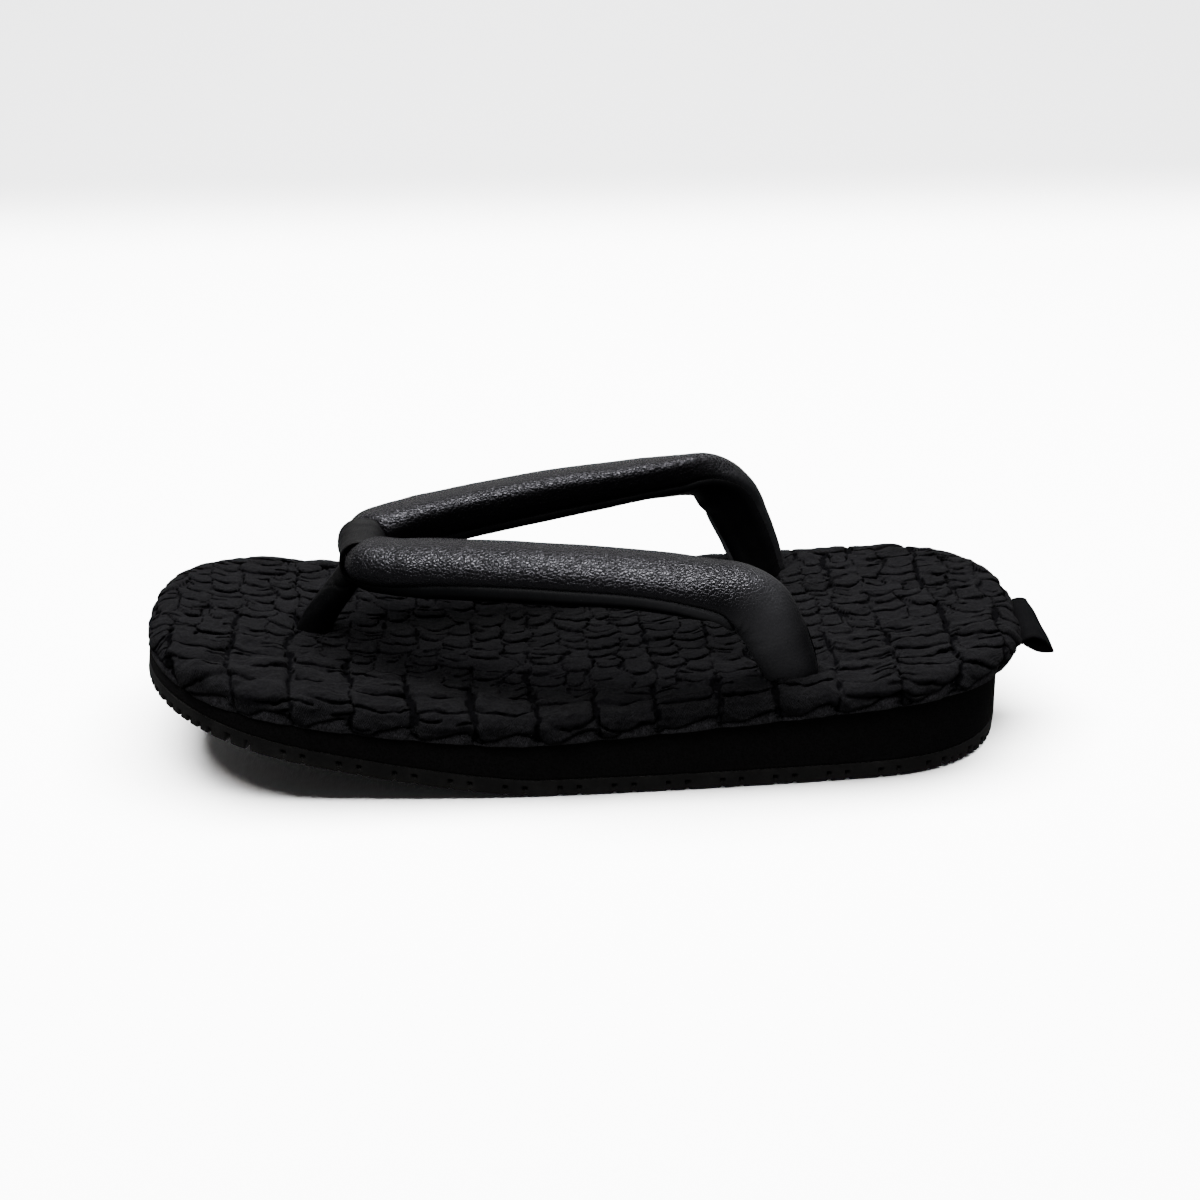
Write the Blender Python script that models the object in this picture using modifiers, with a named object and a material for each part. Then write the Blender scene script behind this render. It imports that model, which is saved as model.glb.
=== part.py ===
# A flat thonged setta sandal: lugged outsole, foam wedge, padded footbed, one padded strap, the front
# thong that wraps it, and a ribbon loop at the heel. The toe points along -X, the heel along +X.
import math

import bmesh
import bpy
import numpy as np
from mathutils import Matrix, Vector

MM = 0.001
FIT_GAP = 0.3 * MM          # clearance between pieces that touch

# Plan outline of the footbed. Both ends are superellipse caps on a gently bulged middle.
FOOTBED_LENGTH = 270 * MM
HALF_LENGTH = FOOTBED_LENGTH / 2
END_HALF_WIDTH = 49 * MM
MIDDLE_BULGE = 6 * MM
TOE_CAP_LENGTH = 54 * MM
TOE_CAP_POWER = 2.5
HEEL_CAP_LENGTH = 54 * MM
HEEL_CAP_POWER = 2.7
OUTLINE_STEPS = 44          # steps along one side, from toe tip to heel tip
CROSS_STEPS = 4             # faces across the flat top and bottom of each layer

# Side profile of the sole
TOE_SPRING = 26 * MM
SPRING_START_X = -18 * MM
SPRING_POWER = 1.3
HEEL_LIFT = 1.9 * MM
LIFT_START_X = 80 * MM
OUTSOLE_TOE, OUTSOLE_HEEL = 5.2 * MM, 5.7 * MM
WEDGE_TOE, WEDGE_HEEL = 3.3 * MM, 23.4 * MM
WEDGE_BELLY = 0.8 * MM
FOOTBED_TOE, FOOTBED_HEEL = 9.6 * MM, 8.8 * MM

# How far the lower layers stand in from the footbed's outline, at the toe and at the heel
GROUND_INSET = -0.5 * MM, 6.8 * MM
WEDGE_FOOT_INSET = 0.1 * MM, 6.4 * MM
WEDGE_TOP_INSET = 0.9 * MM, 6.6 * MM

# Tread: pairs of cross grooves and two long grooves
GROOVE_DEPTH = 2.0 * MM
CROSS_GROOVE_WIDTH = 2.0 * MM
GROOVE_PITCH = 16.35 * MM
PAIR_PITCH = 5.8 * MM
FIRST_GROOVE_X = -125.3 * MM
GROOVE_PAIRS = 15
LONG_GROOVE_WIDTH = 2.6 * MM
LONG_GROOVE_Y = 17 * MM

# Footbed edge from its lower rim to its flat top: inset in millimetres, height as a share of the thickness
FOOTBED_EDGE = (
    # inset, height
    (0.9, 0.0),
    (0.1, 0.16),
    (0.0, 0.38),
    (0.5, 0.62),
    (1.9, 0.83),
    (4.4, 0.96),
    (8.0, 1.0),
)

# One half of the strap, from the middle of its front to its root in the footbed, in millimetres.
# tilt is the lean of the padded face from upright towards the outside, in degrees.
STRAP_HALF = (
    # x, y, z, width, thick, tilt
    (-68.2, 0.0, 58.4, 12.0, 12.0, 0),
    (-67.9, 4.4, 58.5, 12.4, 12.2, 0),
    (-65.0, 9.8, 59.0, 17.0, 15.0, 4),
    (-57.5, 15.0, 60.0, 20.0, 15.2, 12),
    (-43.5, 20.2, 61.1, 21.0, 14.6, 18),
    (-14.0, 29.5, 62.9, 21.2, 13.8, 22),
    (14.0, 37.4, 63.3, 21.2, 13.6, 24),
    (31.0, 42.0, 62.5, 20.8, 13.5, 30),
    (41.2, 43.2, 60.9, 20.4, 13.4, 42),
    (48.6, 42.8, 55.8, 19.8, 13.2, 58),
    (53.3, 41.4, 48.0, 18.8, 12.6, 72),
    (57.0, 39.2, 39.6, 17.6, 11.4, 82),
    (59.6, 37.2, 31.8, 16.4, 10.2, 86),
    (61.0, 36.2, 27.4, 16.0, 9.6, 88),
)
STRAP_SIDES = 18
STRAP_STEPS = 3             # sections for each row of the table
PAD_POWER = 2.3             # 2 is an ellipse, higher is boxier
WRAPPED_ROWS = 5            # rows of the table near the front that the thong's collar may touch
SOCKET_ROWS = 3             # rows of the table at the root that reach the footbed

# Front thong, in millimetres: the stem from its socket up to the collar around the strap's middle
THONG_STEM = (
    # x, y, z, width, thick, tilt
    (-86.0, 0.0, 30.0, 9.6, 10.0, 0),
    (-82.3, 0.0, 37.4, 9.9, 9.7, 0),
    (-78.4, 0.0, 44.2, 10.6, 9.2, 0),
    (-73.2, 0.0, 53.4, 11.0, 9.0, 0),
)
COLLAR_HALF_SPAN = 8.0
COLLAR_WALL = 1.9
COLLAR_RIM_SCALE = 1.0
SOCKET_STEM_ROWS = 2

# Ribbon loop at the heel: a folded band, drooping more at its -Y edge
LOOP_WIDTH = 24 * MM
LOOP_CENTRE_Y = -5 * MM
LOOP_ROOT_DEPTH = 4.4 * MM   # tucked under the footbed's rim
LOOP_REACH = 10 * MM         # past the footbed's heel
LOOP_WALL = 0.7 * MM
LOOP_SLIT = 0.1 * MM         # half the opening left at the loop's root and fold
LOOP_BELLY = 3.8 * MM
LOOP_DROOP = 0.4 * MM, 3.0 * MM
LOOP_SKEW = 3.4 * MM
LOOP_STEPS = 8

# The whole box is centred on the origin: the ribbon loop reaches past the footbed's heel, the outsole past its toe
CENTRING = Vector((-(LOOP_REACH + GROUND_INSET[0]) / 2, 0, 0))


def clearScene():
    for item in list(bpy.data.objects):
        bpy.data.objects.remove(item, do_unlink=True)


def makeCollection(name):
    group = bpy.data.collections.new(name)
    bpy.context.scene.collection.children.link(group)
    return group


def makeMaterial(name, colour, roughness):
    material = bpy.data.materials.new(name)
    material.use_nodes = True
    shader = material.node_tree.nodes["Principled BSDF"]
    shader.inputs["Base Color"].default_value = (*colour, 1)
    shader.inputs["Roughness"].default_value = roughness
    shader.inputs["Metallic"].default_value = 0
    return material


def addObject(name, mesh, group, parent, material=None):
    item = bpy.data.objects.new(name, mesh)
    group.objects.link(item)
    item.parent = parent
    if material:
        mesh.materials.append(material)
        mesh.shade_smooth()
        mesh.set_sharp_from_angle(angle=math.radians(40))
    else:
        item.hide_render = True
        item.display_type = "WIRE"
    return item


def meshFrom(name, bm):
    bmesh.ops.recalc_face_normals(bm, faces=bm.faces)
    mesh = bpy.data.meshes.new(name)
    bm.to_mesh(mesh)
    bm.free()
    return mesh


def cut(item, cutter, operation="DIFFERENCE"):
    modifier = item.modifiers.new(cutter.name, "BOOLEAN")
    modifier.operation = operation
    modifier.object = cutter
    modifier.solver = "EXACT"


# Sole profile and outline

def alongSole(x, toe, heel):
    return toe + (heel - toe) * (x + HALF_LENGTH) / FOOTBED_LENGTH


def groundHeight(x):
    spring = np.clip((SPRING_START_X - x) / (HALF_LENGTH + SPRING_START_X), 0, None)
    lift = np.clip((x - LIFT_START_X) / (HALF_LENGTH - LIFT_START_X), 0, None)
    return TOE_SPRING * spring ** SPRING_POWER + HEEL_LIFT * lift ** 2


def outsoleTop(x):
    return groundHeight(x) + alongSole(x, OUTSOLE_TOE, OUTSOLE_HEEL)


def wedgeTop(x):
    belly = WEDGE_BELLY * (1 - (x / HALF_LENGTH) ** 2)
    return outsoleTop(x) + alongSole(x, WEDGE_TOE, WEDGE_HEEL) + belly


def footbedHeight(x, share):
    return wedgeTop(x) + share * alongSole(x, FOOTBED_TOE, FOOTBED_HEEL)


def halfWidth(x):
    middle = END_HALF_WIDTH + MIDDLE_BULGE * (1 - (x / HALF_LENGTH) ** 2)
    toe = np.clip((TOE_CAP_LENGTH - HALF_LENGTH - x) / TOE_CAP_LENGTH, 0, 1)
    heel = np.clip((HEEL_CAP_LENGTH - HALF_LENGTH + x) / HEEL_CAP_LENGTH, 0, 1)
    toeCap = (1 - toe ** TOE_CAP_POWER) ** (1 / TOE_CAP_POWER)
    heelCap = (1 - heel ** HEEL_CAP_POWER) ** (1 / HEEL_CAP_POWER)
    return middle * toeCap * heelCap


def sideOutline(insetToe, insetHeel):
    # points of the +Y side from toe tip to heel tip, moved in along the outline's normal
    x = -HALF_LENGTH * np.cos(np.linspace(0, math.pi, 2001))
    y = halfWidth(x)
    y[0] = y[-1] = 0
    arc = np.concatenate(([0], np.cumsum(np.hypot(np.diff(x), np.diff(y)))))
    even = np.linspace(0, arc[-1], OUTLINE_STEPS + 1)
    x, y = np.interp(even, arc, x), np.interp(even, arc, y)
    dx, dy = np.gradient(x), np.gradient(y)
    dx[0] = dx[-1] = 0
    length = np.hypot(dx, dy)
    inset = alongSole(x, insetToe, insetHeel)
    return x + inset * dy / length, y - inset * dx / length


def soleRing(insetToe, insetHeel, height):
    # a closed loop of points: the +Y side from toe to heel, then the -Y side back
    x, y = sideOutline(insetToe, insetHeel)
    there = [(x[i], y[i]) for i in range(OUTLINE_STEPS + 1)]
    back = [(x[i], -y[i]) for i in range(OUTLINE_STEPS - 1, 0, -1)]
    return [Vector((px, py, float(height(px)))) for px, py in there + back]


def capAcross(bm, ring, height):
    # closes a ring with rows of faces that run from side to side and follow the height
    rows = []
    for i in range(OUTLINE_STEPS + 1):
        near, far = ring[i], ring[-i]
        if i in (0, OUTLINE_STEPS):
            rows.append([near] * (CROSS_STEPS + 1))
            continue
        row = [near]
        for step in range(1, CROSS_STEPS):
            point = near.co.lerp(far.co, step / CROSS_STEPS)
            point.z = float(height(point.x))
            row.append(bm.verts.new(point))
        rows.append(row + [far])
    for first, second in zip(rows, rows[1:]):
        for step in range(CROSS_STEPS):
            corners = first[step], second[step], second[step + 1], first[step + 1]
            bm.faces.new(list(dict.fromkeys(corners)))


def layerMesh(name, rings, bottomHeight, topHeight):
    bm = bmesh.new()
    loops = [[bm.verts.new(point) for point in ring] for ring in rings]
    for lower, upper in zip(loops, loops[1:]):
        for i in range(len(lower)):
            bm.faces.new((lower[i - 1], lower[i], upper[i], upper[i - 1]))
    capAcross(bm, loops[0], bottomHeight)
    capAcross(bm, loops[-1], topHeight)
    return meshFrom(name, bm)


# Padded bands swept along a table of rows

def smoothRows(table, steps, mirrored):
    # adds rows between the table's own, on a Catmull-Rom curve through them
    rows = np.array(table, dtype=float)
    before = rows[1] * (1, -1, 1, 1, 1, 1) if mirrored else 2 * rows[0] - rows[1]
    after = 2 * rows[-1] - rows[-2]
    rows = np.vstack((before, rows, after))
    dense = []
    for i in range(1, len(rows) - 2):
        a, b, c, d = rows[i - 1:i + 3]
        for t in np.arange(steps) / steps:
            bend = 2 * a - 5 * b + 4 * c - d + t * (3 * (b - c) + d - a)
            dense.append(b + t / 2 * (c - a + t * bend))
    return np.array(dense + [rows[-2]])


def section(row, tangent, grow):
    # points of one padded oval, square to the path, with its face leaning outwards by the tilt
    x, y, z, width, thick, tilt = row
    lean = Vector((0, math.sin(math.radians(tilt)), math.cos(math.radians(tilt))))
    normal = (lean - tangent * lean.dot(tangent)).normalized()
    across = tangent.cross(normal)
    points = []
    for k in range(STRAP_SIDES):
        angle = 2 * math.pi * k / STRAP_SIDES
        side, up = math.cos(angle), math.sin(angle)
        side = math.copysign(abs(side) ** (2 / PAD_POWER), side) * (width / 2 * MM + grow)
        up = math.copysign(abs(up) ** (2 / PAD_POWER), up) * (thick / 2 * MM + grow)
        points.append(Vector((x, y, z)) * MM + across * side + normal * up)
    return points


def bandMesh(name, table, grow=0, mirrored=False, openStart=False, longer=0):
    rows = smoothRows(table, STRAP_STEPS, mirrored)
    path = [Vector(row[:3]) for row in rows]
    bm = bmesh.new()
    loops = []
    for i, row in enumerate(rows):
        start = Vector((path[1].x, -path[1].y, path[1].z)) if mirrored else path[0]
        ahead = path[min(i + 1, len(path) - 1)]
        behind = path[i - 1] if i else start
        tangent = (ahead - behind).normalized()
        if i == len(rows) - 1:
            row = np.concatenate((np.array(path[i] + tangent * longer / MM), row[3:]))
        loops.append([bm.verts.new(point) for point in section(row, tangent, grow)])
    for first, second in zip(loops, loops[1:]):
        for k in range(STRAP_SIDES):
            bm.faces.new((first[k - 1], first[k], second[k], second[k - 1]))
    bm.faces.new(loops[-1])
    if openStart:
        for vertex in loops[0]:
            vertex.co.y = 0
    else:
        bm.faces.new(loops[0])
    return meshFrom(name, bm)


def mirrorAcross(item):
    modifier = item.modifiers.new("other_side", "MIRROR")
    modifier.use_axis = (False, True, False)
    modifier.merge_threshold = 0.00001


# The pieces

def makeOutsole(parts, cutters, root):
    rings = [soleRing(*GROUND_INSET, groundHeight), soleRing(*WEDGE_FOOT_INSET, outsoleTop)]
    mesh = layerMesh("outsole", rings, groundHeight, outsoleTop)
    outsole = addObject("outsole", mesh, parts, root, makeMaterial("rubber", (0.04, 0.038, 0.037), 0.75))
    cut(outsole, makeCrossGrooves(cutters, root))
    cut(outsole, makeLongGrooves(cutters, root))


def makeCrossGrooves(cutters, root):
    bm = bmesh.new()
    for pair in range(GROOVE_PAIRS):
        for x in (FIRST_GROOVE_X + pair * GROOVE_PITCH, FIRST_GROOVE_X + pair * GROOVE_PITCH + PAIR_PITCH):
            slope = float(groundHeight(x + MM) - groundHeight(x - MM)) / (2 * MM)
            place = Matrix.Translation((x, 0, float(groundHeight(x))))
            place @= Matrix.Rotation(-math.atan(slope), 4, "Y")
            box = bmesh.ops.create_cube(bm, size=1)["verts"]
            scale = Vector((CROSS_GROOVE_WIDTH, 4 * END_HALF_WIDTH, 2 * GROOVE_DEPTH))
            bmesh.ops.scale(bm, vec=scale, verts=box)
            bmesh.ops.transform(bm, matrix=place, verts=box)
    return addObject("cross_grooves", meshFrom("cross_grooves", bm), cutters, root)


def makeLongGrooves(cutters, root):
    stations = np.linspace(-1.05 * HALF_LENGTH, 1.05 * HALF_LENGTH, 2 * OUTLINE_STEPS)
    bm = bmesh.new()
    for middle in (-LONG_GROOVE_Y, LONG_GROOVE_Y):
        loops = []
        for x in stations:
            z = float(groundHeight(x))
            corners = [(-1, -1), (1, -1), (1, 1), (-1, 1)]
            loops.append([
                bm.verts.new((x, middle + side * LONG_GROOVE_WIDTH / 2, z + up * GROOVE_DEPTH))
                for side, up in corners
            ])
        for first, second in zip(loops, loops[1:]):
            for k in range(4):
                bm.faces.new((first[k - 1], first[k], second[k], second[k - 1]))
        bm.faces.new(loops[0])
        bm.faces.new(loops[-1])
    return addObject("long_grooves", meshFrom("long_grooves", bm), cutters, root)


def makeMidsole(parts, root):
    def bottom(x):
        return outsoleTop(x) + FIT_GAP

    def top(x):
        return wedgeTop(x) - FIT_GAP

    rings = [soleRing(*WEDGE_FOOT_INSET, bottom), soleRing(*WEDGE_TOP_INSET, top)]
    mesh = layerMesh("midsole", rings, bottom, top)
    addObject("midsole", mesh, parts, root, makeMaterial("foam", (0.012, 0.012, 0.013), 0.9))


def makeFootbed(parts, cutters, root):
    def heightAt(share):
        return lambda x: footbedHeight(x, share)

    rings = [soleRing(inset * MM, inset * MM, heightAt(share)) for inset, share in FOOTBED_EDGE]
    mesh = layerMesh("footbed", rings, heightAt(0), heightAt(1))
    footbed = addObject("footbed", mesh, parts, root, makeMaterial("cloth", (0.03, 0.03, 0.033), 0.9))
    strapSocket = bandMesh("strap_socket", STRAP_HALF[-SOCKET_ROWS:], grow=FIT_GAP, longer=FIT_GAP)
    strapSocket = addObject("strap_socket", strapSocket, cutters, root)
    mirrorAcross(strapSocket)
    stem = THONG_STEM[:SOCKET_STEM_ROWS][::-1]
    thongSocket = bandMesh("thong_socket", stem, grow=FIT_GAP, longer=FIT_GAP)
    thongSocket = addObject("thong_socket", thongSocket, cutters, root)
    cut(footbed, strapSocket)
    cut(footbed, thongSocket)


def makeStrap(parts, root):
    mesh = bandMesh("strap", STRAP_HALF, mirrored=True, openStart=True)
    strap = addObject("strap", mesh, parts, root, makeMaterial("leather", (0.035, 0.036, 0.039), 0.5))
    mirrorAcross(strap)


def collarMesh():
    # a short fat oval across the strap's front, later hollowed by the strap itself
    front = STRAP_HALF[0]
    bm = bmesh.new()
    loops = []
    for y, scale in ((-1, COLLAR_RIM_SCALE), (-0.6, 1), (0.6, 1), (1, COLLAR_RIM_SCALE)):
        row = list(front)
        row[1] = y * COLLAR_HALF_SPAN
        row[3] = (front[3] + 2 * COLLAR_WALL) * scale
        row[4] = (front[4] + 2 * COLLAR_WALL) * scale
        loops.append([bm.verts.new(point) for point in section(row, Vector((0, 1, 0)), FIT_GAP)])
    for first, second in zip(loops, loops[1:]):
        for k in range(STRAP_SIDES):
            bm.faces.new((first[k - 1], first[k], second[k], second[k - 1]))
    bm.faces.new(loops[0])
    bm.faces.new(loops[-1])
    return meshFrom("front_thong", bm)


def makeFrontThong(parts, cutters, root):
    material = makeMaterial("smooth_leather", (0.02, 0.02, 0.022), 0.55)
    thong = addObject("front_thong", collarMesh(), parts, root, material)
    stem = addObject("thong_stem", bandMesh("thong_stem", THONG_STEM), cutters, root)
    tunnelMesh = bandMesh("thong_tunnel", STRAP_HALF[:WRAPPED_ROWS], FIT_GAP, mirrored=True, openStart=True)
    tunnel = addObject("thong_tunnel", tunnelMesh, cutters, root)
    mirrorAcross(tunnel)
    cut(thong, stem, "UNION")
    cut(thong, tunnel)


def ribbonLoop(start, end, half, droop):
    # a closed lens seen from the side, from its root end to its fold end, sagging as it goes out
    points = []
    for side in (1, -1):
        for step in range(LOOP_STEPS + 1)[::side]:
            along = step / LOOP_STEPS
            x = start + (end - start) * along
            out = max(x, 0) / LOOP_REACH
            swell = math.sin(math.pi * min(out, 1)) ** 0.8
            points.append((x, side * (half + LOOP_BELLY / 2 * swell) - droop * out ** 2))
    return points


def makeHeelLoop(parts, root):
    # the ribbon folded into a flat loop, open at both sides, its root under the footbed's rim
    level = float(wedgeTop(HALF_LENGTH - LOOP_ROOT_DEPTH)) - LOOP_WALL - FIT_GAP
    bm = bmesh.new()
    slices = []
    for k in range(LOOP_STEPS + 1):
        across = k / LOOP_STEPS
        y = LOOP_CENTRE_Y + LOOP_WIDTH * (across - 0.5)
        droop = LOOP_DROOP[1] + (LOOP_DROOP[0] - LOOP_DROOP[1]) * across
        reach = LOOP_REACH - LOOP_SKEW * across
        outer = ribbonLoop(-LOOP_ROOT_DEPTH, reach, LOOP_WALL, droop)
        inner = ribbonLoop(LOOP_WALL, reach - LOOP_WALL, LOOP_SLIT, droop)
        slices.append([
            [bm.verts.new((HALF_LENGTH + x, y, level + z)) for x, z in loop] for loop in (outer, inner)
        ])
    for first, second in zip(slices, slices[1:]):
        for a, b in zip(first, second):
            for k in range(len(a)):
                bm.faces.new((a[k - 1], a[k], b[k], b[k - 1]))
    for outer, inner in (slices[0], slices[-1]):
        for k in range(len(outer)):
            bm.faces.new((outer[k - 1], outer[k], inner[k], inner[k - 1]))
    mesh = meshFrom("heel_loop", bm)
    addObject("heel_loop", mesh, parts, root, makeMaterial("ribbon", (0.03, 0.03, 0.03), 0.7))


def makeSandal():
    clearScene()
    parts = makeCollection("setta_sandal")
    cutters = makeCollection("cutters")
    root = bpy.data.objects.new("sandal_frame", None)
    parts.objects.link(root)
    root.location = CENTRING
    makeOutsole(parts, cutters, root)
    makeMidsole(parts, root)
    makeFootbed(parts, cutters, root)
    makeStrap(parts, root)
    makeFrontThong(parts, cutters, root)
    makeHeelLoop(parts, root)


makeSandal()
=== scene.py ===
import math
import bmesh
import bpy
import numpy as np
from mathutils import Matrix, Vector


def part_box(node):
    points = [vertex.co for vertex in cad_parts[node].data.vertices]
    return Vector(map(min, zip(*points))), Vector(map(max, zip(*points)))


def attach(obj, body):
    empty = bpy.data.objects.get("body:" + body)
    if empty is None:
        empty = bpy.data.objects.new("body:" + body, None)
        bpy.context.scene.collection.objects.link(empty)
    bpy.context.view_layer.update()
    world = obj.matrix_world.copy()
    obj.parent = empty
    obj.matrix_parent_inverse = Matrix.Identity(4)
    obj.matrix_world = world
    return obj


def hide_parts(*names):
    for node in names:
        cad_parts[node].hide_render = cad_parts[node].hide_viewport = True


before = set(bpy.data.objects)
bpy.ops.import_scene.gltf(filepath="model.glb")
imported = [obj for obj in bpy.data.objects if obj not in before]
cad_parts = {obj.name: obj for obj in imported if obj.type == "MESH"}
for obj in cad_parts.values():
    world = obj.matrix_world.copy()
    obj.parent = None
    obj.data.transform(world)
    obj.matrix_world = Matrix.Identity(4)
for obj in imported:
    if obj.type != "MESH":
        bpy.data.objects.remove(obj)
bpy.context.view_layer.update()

mm = 0.001
footbedLow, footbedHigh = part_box("footbed")
soleMiddle = (footbedLow.x + footbedHigh.x) / 2 / mm  # where the sole's own x = 0 lies, in millimetres
halfLength = (footbedHigh.x - footbedLow.x) / 2 / mm
random = np.random.default_rng(11)

# The sole's form in millimetres, with x = 0 halfway along the footbed; pairs are toe and heel values
sole = {
    "endHalfWidth": 49, "bulge": 6,
    "toeCap": (54, 2.5), "heelCap": (54, 2.7),
    "toeSpring": 26, "springStart": -18, "springPower": 1.3,
    "heelLift": 1.9, "liftStart": 80,
    "rubber": (5.2, 5.7), "wedge": (3.3, 23.4), "belly": 0.8, "pad": (9.6, 8.8),
    "toMiddle": 48,  # from the outline in to the middle line
}


# Shapes shared by several pieces

def along(x, toe, heel):
    return toe + (heel - toe) * (x + halfLength) / (2 * halfLength)


def groundHeight(x):
    spring = np.clip((sole["springStart"] - x) / (halfLength + sole["springStart"]), 0, None)
    lift = np.clip((x - sole["liftStart"]) / (halfLength - sole["liftStart"]), 0, None)
    return sole["toeSpring"] * spring ** sole["springPower"] + sole["heelLift"] * lift ** 2


def rimHeight(x):
    belly = sole["belly"] * (1 - (x / halfLength) ** 2)
    return groundHeight(x) + along(x, *sole["rubber"]) + along(x, *sole["wedge"]) + belly


def padTop(x):
    return rimHeight(x) + along(x, *sole["pad"])


def outline(inset, steps=2400):
    # the far side from toe tip to heel tip, moved inwards, with its outward normals
    x = -halfLength * np.cos(np.linspace(0, math.pi, steps))
    width = sole["endHalfWidth"] + sole["bulge"] * (1 - (x / halfLength) ** 2)
    for sign, (length, power) in ((-1, sole["toeCap"]), (1, sole["heelCap"])):
        reach = np.clip((length - halfLength + sign * x) / length, 0, 1)
        width = width * (1 - reach ** power) ** (1 / power)
    arc = np.concatenate(([0], np.cumsum(np.hypot(np.diff(x), np.diff(width)))))
    even = np.linspace(0, arc[-1], steps)
    x, y = np.interp(even, arc, x), np.interp(even, arc, width)
    dx, dy = np.gradient(x), np.gradient(y)
    dx[0] = dx[-1] = 0
    length = np.hypot(dx, dy)
    normalX, normalY = -dy / length, dx / length
    return x - inset * normalX, y - inset * normalY, normalX, normalY


def softNoise(x, y, size, seed):
    # smooth noise from -1 to 1, with hills about the given size across
    values = np.random.default_rng(seed).uniform(-1, 1, (128, 128))
    gx, gy = np.broadcast_arrays(np.asarray(x) / size + 61.3, np.asarray(y) / size + 57.7)
    i, j = np.floor(gx).astype(int), np.floor(gy).astype(int)
    u, v = gx - i, gy - j
    u, v = u * u * (3 - 2 * u), v * v * (3 - 2 * v)
    i, j = i % 127, j % 127
    low = values[i, j] * (1 - u) + values[i + 1, j] * u
    high = values[i, j + 1] * (1 - u) + values[i + 1, j + 1] * u
    return low * (1 - v) + high * v


def ramp(value, start, end):
    t = np.clip((value - start) / (end - start), 0, 1)
    return t * t * (3 - 2 * t)


def past(value, edge, soft):
    return ramp(value, edge - soft, edge + soft)


def bump(value, centre, width):
    return np.exp(-((value - centre) / width) ** 2)


def roundOff(depth, radius):
    # a quarter circle from 0 at the edge to 1 at the radius
    return np.sqrt(np.clip(1 - (1 - np.clip(depth / radius, 0, 1)) ** 2, 0, 1))


def gridPiece(cellsAlong, cellsAcross):
    # a flat grid, with its two coordinates from 0 to 1 as arrays
    bm = bmesh.new()
    bmesh.ops.create_grid(bm, x_segments=cellsAlong, y_segments=cellsAcross, size=1)
    flat = np.array([vertex.co for vertex in bm.verts])
    return bm, flat[:, 0] / 2 + 0.5, flat[:, 1] / 2 + 0.5


def placeVerts(bm, points):
    shift = np.array((soleMiddle, 0, 0))
    for vertex, point in zip(bm.verts, (points + shift) * mm):
        vertex.co = point


def mergeVerts(bm):
    bmesh.ops.remove_doubles(bm, verts=bm.verts, dist=0.00001)


def paintVerts(bm, **layers):
    for name, values in layers.items():
        layer = bm.verts.layers.float.new(name)
        for vertex, value in zip(bm.verts, values):
            vertex[layer] = value


def addObject(name, data):
    item = bpy.data.objects.new(name, data)
    bpy.context.scene.collection.objects.link(item)
    return item


def toMesh(name, bm):
    mesh = bpy.data.meshes.new(name)
    bm.to_mesh(mesh)
    bm.free()
    mesh.shade_smooth()
    return mesh


def newPiece(name, bm, material, node):
    bmesh.ops.recalc_face_normals(bm, faces=bm.faces)
    mesh = toMesh(name, bm)
    mesh.materials.append(material)
    piece = addObject(name, mesh)
    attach(piece, "root")
    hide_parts(node)
    print(name, len(mesh.polygons), "faces")
    return piece


# Shader helpers

def put(tree, target, value):
    # a socket is linked to the target, and anything else becomes its own value
    if isinstance(value, bpy.types.NodeSocket):
        tree.links.new(value, target)
    else:
        target.default_value = value


def addNode(tree, kind, inputs=None, **settings):
    node = tree.nodes.new("ShaderNode" + kind)
    for name, value in settings.items():
        setattr(node, name, value)
    for name, value in (inputs or {}).items():
        put(tree, node.inputs[name], value)
    return node


def newGroup(name, outputs, **numbers):
    # a node group that takes a point and some numbers, and puts out values
    tree = bpy.data.node_groups.new(name, "ShaderNodeTree")
    addSocket = tree.interface.new_socket
    addSocket(name="Vector", in_out="INPUT", socket_type="NodeSocketVector")
    for socket, value in numbers.items():
        item = addSocket(name=socket.replace("_", " "), in_out="INPUT", socket_type="NodeSocketFloat")
        item.default_value = value
    for socket in outputs:
        addSocket(name=socket, in_out="OUTPUT", socket_type="NodeSocketFloat")
    given = tree.nodes.new("NodeGroupInput").outputs
    return tree, tree.nodes.new("NodeGroupOutput"), given["Vector"], given


def mathNode(tree, operation, *values):
    return addNode(tree, "Math", dict(enumerate(values)), operation=operation).outputs[0]


def times(tree, *values):
    return mathNode(tree, "MULTIPLY", *values)


def timesPlus(tree, *values):
    return mathNode(tree, "MULTIPLY_ADD", *values)


def vectorMath(tree, operation, *values):
    return addNode(tree, "VectorMath", dict(enumerate(values)), operation=operation).outputs[0]


def mapRange(tree, value, fromMin, fromMax, toMin=0.0, toMax=1.0, **settings):
    inputs = {"Value": value, "From Min": fromMin, "From Max": fromMax, "To Min": toMin, "To Max": toMax}
    return addNode(tree, "MapRange", inputs, **settings).outputs["Result"]


def mixColour(tree, factor, *colours):
    # the colour sockets of a Mix node are its inputs 6 and 7 and its output 2
    first, second = ((*colour, 1) if isinstance(colour, tuple) else colour for colour in colours)
    return addNode(tree, "Mix", {0: factor, 6: first, 7: second}, data_type="RGBA").outputs[2]


def scaleColour(tree, colour, value):
    return addNode(tree, "VectorMath", {0: colour, "Scale": value}, operation="SCALE").outputs[0]


def newMaterial(name, **constants):
    material = bpy.data.materials.new(name)
    material.use_nodes = True
    tree = material.node_tree
    shader = tree.nodes["Principled BSDF"]
    feed(tree, shader, **constants)
    return material, tree, shader, addNode(tree, "TexCoord").outputs["Object"]


def splitPoint(tree, point):
    return addNode(tree, "SeparateXYZ", {"Vector": point}).outputs


def fade(tree, factor, kept, full=1.0):
    return mapRange(tree, factor, 0.0, 1.0, full, kept)


def attribute(tree, name):
    return addNode(tree, "Attribute", attribute_name=name).outputs["Fac"]


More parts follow.
